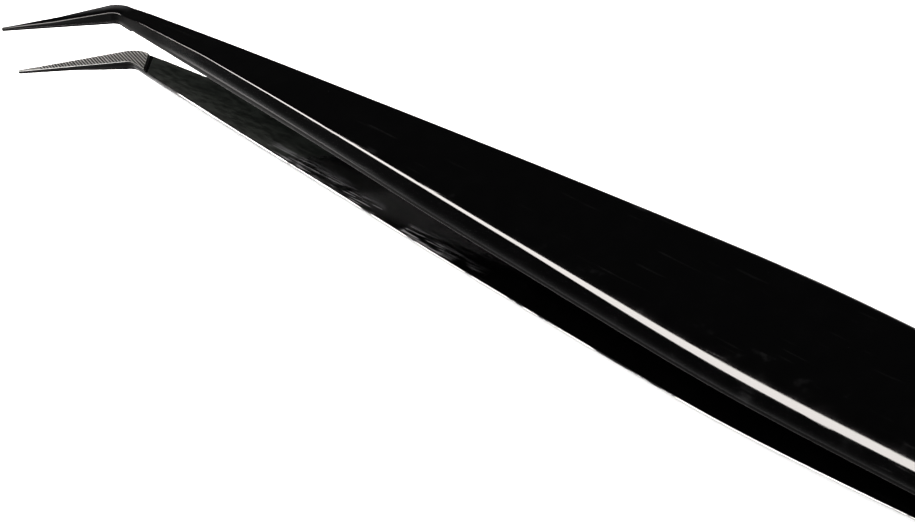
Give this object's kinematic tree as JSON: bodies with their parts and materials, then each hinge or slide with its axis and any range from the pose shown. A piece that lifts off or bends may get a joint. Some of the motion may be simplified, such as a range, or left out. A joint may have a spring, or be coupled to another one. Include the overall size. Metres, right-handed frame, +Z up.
{
  "type": "bent-tip precision tweezers",
  "caption": "Fine-pointed spring tweezers with a slanted tip: tapered, bevelled, black-coated steel arms joined at the heel, with finely grooved bare-steel grip faces inside the points.",
  "frame": {"origin": "on the table, under the middle of the tool's bounding box", "axes": "+X from the points back to the heel, +Y to the left of that, away from the side the points turn to, +Z up, across the arms in the closing direction"},
  "size_m": [0.1206, 0.0112, 0.0063],
  "materials": {
    "black_coating": "glossy black coating on stainless steel, satin on the inner faces near the tip",
    "bare_steel": "finely grooved, uncoated",
    "weld_steel": "fused spot weld inside the heel"
  },
  "bodies": {
    "heel": {"upper_heel": "black_coating", "lower_heel": "black_coating", "front_weld": "weld_steel", "rear_weld": "weld_steel"},
    "upper_arm": {"upper_arm": "black_coating", "upper_grip_pad": "bare_steel"},
    "lower_arm": {"lower_arm": "black_coating", "lower_grip_pad": "bare_steel"}
  },
  "joints": [
    {"name": "upper_arm_flex", "type": "hinge", "parent": "heel", "child": "upper_arm", "pos_m": [0.02635, 0.00075, 0.00231], "axis": [0, -1, 0], "range_deg": [0, 1.19], "stiffness_Nm_per_rad": 2.5},
    {"name": "lower_arm_flex", "type": "hinge", "parent": "heel", "child": "lower_arm", "pos_m": [0.02633, 0.00075, 0.00151], "axis": [0, 1, 0], "range_deg": [0, 1.19], "stiffness_Nm_per_rad": 2.5}
  ]
}
